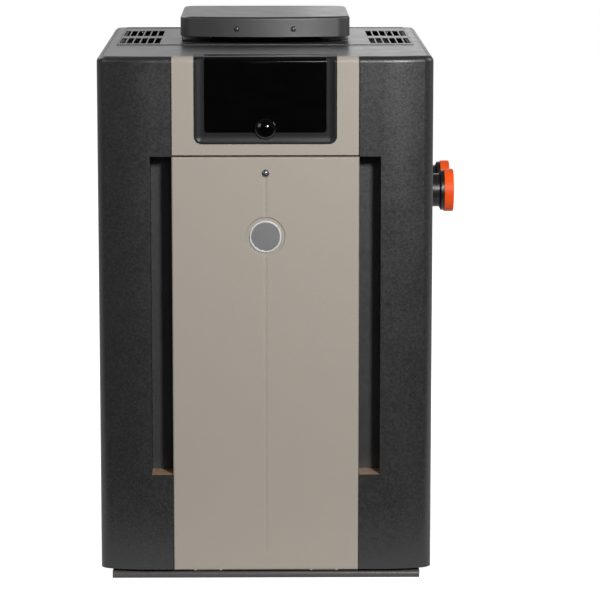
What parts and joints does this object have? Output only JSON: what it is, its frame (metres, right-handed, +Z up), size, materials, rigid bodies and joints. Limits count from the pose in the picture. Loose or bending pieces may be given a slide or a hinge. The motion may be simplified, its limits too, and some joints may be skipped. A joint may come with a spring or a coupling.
{
  "type": "gas pool heater",
  "caption": "Outdoor gas-fired pool heater: steel cabinet with tilting service door, lift-up control flap, raised flue cover, finned-tube heat exchanger, burners and capped water stubs.",
  "frame": {"origin": "on the floor under the middle of the cabinet", "axes": "+Z up, -Y out of the front door, +X towards the water pipes"},
  "size_m": [0.6291, 0.711, 0.951],
  "materials": {
    "charcoal_paint": "textured powder coat, dark charcoal",
    "grey_paint": "textured powder coat, charcoal grey",
    "taupe_paint": "fine satin powder coat, warm taupe",
    "dark_plastic": "satin moulded plastic, dark grey",
    "black_gloss": "polished black",
    "zinc_steel": "zinc-plated steel",
    "satin_badge": "satin, blank",
    "copper": "dull copper",
    "black_iron": "black iron",
    "black_rubber": "soft black rubber",
    "pipe_plastic": "black moulded pipe",
    "orange_plastic": "soft moulded orange-red",
    "ceramic": "fired ceramic",
    "valve_metal": "die-cast",
    "red_plastic": "moulded red",
    "display_plastic": "unlit liquid-crystal grey-green",
    "button_rubber": "grey silicone",
    "board": "green lacquer",
    "switch_plastic": "moulded black",
    "plug_brass": "turned"
  },
  "bodies": {
    "cabinet": {"base_pan": "charcoal_paint", "left_corner_post": "charcoal_paint", "right_corner_post": "charcoal_paint", "left_side_panel": "charcoal_paint", "right_side_panel": "charcoal_paint", "rear_panel": "charcoal_paint", "jacket_top": "grey_paint", "top_grille": "grey_paint", "upper_fascia": "taupe_paint", "cross_rail": "charcoal_paint", "control_bezel": "dark_plastic", "flap_hinge_pins": "zinc_steel", "door_rivet_nut": "zinc_steel", "flue_cover": "grey_paint", "flue_cover_legs": "grey_paint", "flue_collar": "zinc_steel", "flue_collector": "zinc_steel", "finned_tubes": "copper", "tube_sheets": "zinc_steel", "return_header": "black_iron", "in_out_header": "black_iron", "header_gaskets": "black_rubber", "header_bolts": "zinc_steel", "flue_baffles": "zinc_steel", "inlet_pipe": "pipe_plastic", "outlet_pipe": "pipe_plastic", "pipe_grommets": "black_rubber", "chamber_shell": "zinc_steel", "refractory_panels": "ceramic", "burner_tray": "zinc_steel", "burners": "zinc_steel", "gas_manifold": "black_iron", "gas_valve": "valve_metal", "valve_nipple": "black_iron", "gas_inlet_pipe": "black_iron", "igniter": "ceramic", "flame_sensor": "ceramic", "control_housing": "dark_plastic", "display": "display_plastic", "circuit_board": "board", "transformer": "zinc_steel", "ignition_module": "dark_plastic", "junction_box": "zinc_steel", "pressure_switch": "switch_plastic", "limit_switches": "switch_plastic", "drain_plug": "plug_brass", "panel_screws": "grey_paint", "wiring_loom": "black_rubber"},
    "flap": {"control_flap": "black_gloss", "flap_pull": "black_gloss"},
    "door": {"front_door": "taupe_paint", "door_screw": "zinc_steel", "door_badge": "satin_badge"},
    "inlet_cap": {"inlet_cap": "orange_plastic"},
    "outlet_cap": {"outlet_cap": "orange_plastic"},
    "valve_knob": {"gas_valve_knob": "red_plastic"},
    "menu_button": {"menu_button": "button_rubber"},
    "mode_button": {"mode_button": "button_rubber"},
    "down_button": {"down_button": "button_rubber"},
    "up_button": {"up_button": "button_rubber"}
  },
  "joints": [
    {"name": "flap_hinge", "type": "hinge", "parent": "cabinet", "child": "flap", "pos_m": [0, -0.304, 0.897], "axis": [-1, 0, 0], "range_deg": [0, 105]},
    {"name": "door_tilt", "type": "hinge", "parent": "cabinet", "child": "door", "pos_m": [0, -0.3395, 0.0065], "axis": [1, 0, 0], "range_deg": [0, 35]},
    {"name": "inlet_cap_pull", "type": "slide", "parent": "cabinet", "child": "inlet_cap", "axis": [1, 0, 0], "range_m": [0, 0.15]},
    {"name": "outlet_cap_pull", "type": "slide", "parent": "cabinet", "child": "outlet_cap", "axis": [1, 0, 0], "range_m": [0, 0.15]},
    {"name": "valve_knob_turn", "type": "hinge", "parent": "cabinet", "child": "valve_knob", "pos_m": [-0.095, -0.1815, 0.216], "axis": [0, 1, 0], "range_deg": [0, 90]},
    {"name": "menu_button_press", "type": "slide", "parent": "cabinet", "child": "menu_button", "axis": [0, 1, 0], "range_m": [0, 0.0015], "stiffness_N_per_m": 200},
    {"name": "mode_button_press", "type": "slide", "parent": "cabinet", "child": "mode_button", "axis": [0, 1, 0], "range_m": [0, 0.0015], "stiffness_N_per_m": 200},
    {"name": "down_button_press", "type": "slide", "parent": "cabinet", "child": "down_button", "axis": [0, 1, 0], "range_m": [0, 0.0015], "stiffness_N_per_m": 200},
    {"name": "up_button_press", "type": "slide", "parent": "cabinet", "child": "up_button", "axis": [0, 1, 0], "range_m": [0, 0.0015], "stiffness_N_per_m": 200}
  ]
}
